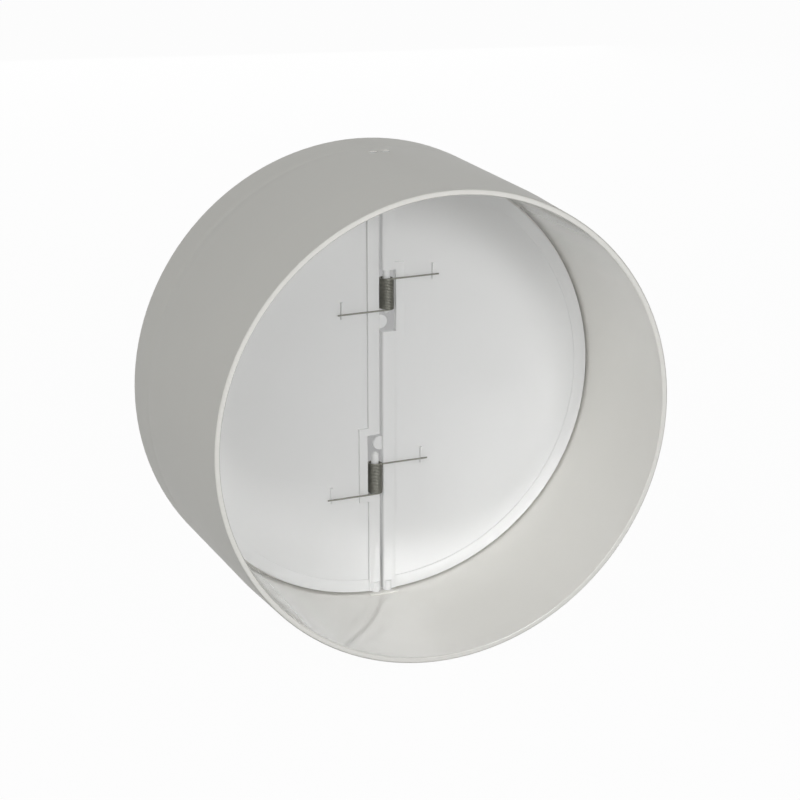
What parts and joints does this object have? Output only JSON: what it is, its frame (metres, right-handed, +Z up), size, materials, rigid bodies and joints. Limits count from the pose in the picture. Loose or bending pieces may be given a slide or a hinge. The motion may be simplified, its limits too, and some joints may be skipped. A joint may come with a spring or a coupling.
{
  "type": "duct backdraft damper",
  "caption": "Short round duct collar holding sprung half-disc flaps on a central split; airflow pushes the flaps open towards the outlet and springs close them against reverse draught.",
  "frame": {"origin": "on the duct axis, halfway along the collar", "axes": "+Y along the duct axis towards the inlet, -Y towards the outlet, +Z up along the hinge lines, +X across the flaps"},
  "size_m": [0.15, 0.075, 0.15],
  "materials": {
    "collar_plastic": "satin moulded, pale warm grey",
    "flap_plastic": "smooth moulded, off white, slight sheen",
    "spring_steel": "drawn wire, dull grey"
  },
  "bodies": {
    "collar": {"collar": "collar_plastic", "upper_spring": "spring_steel", "lower_spring": "spring_steel"},
    "right_flap": {"right_flap": "flap_plastic"},
    "left_flap": {"left_flap": "flap_plastic"}
  },
  "joints": [
    {"name": "right_flap_hinge", "type": "hinge", "parent": "collar", "child": "right_flap", "pos_m": [0.0021, 0.0161, 0], "axis": [0, 0, -1], "range_deg": [0, 80], "stiffness_Nm_per_rad": 0.006, "springref_deg": -34.38, "deforming": ["upper_spring", "lower_spring"]},
    {"name": "left_flap_hinge", "type": "hinge", "parent": "collar", "child": "left_flap", "pos_m": [-0.0021, 0.0161, 0], "axis": [0, 0, 1], "range_deg": [0, 80], "stiffness_Nm_per_rad": 0.006, "springref_deg": -34.38, "deforming": ["upper_spring", "lower_spring"]}
  ]
}
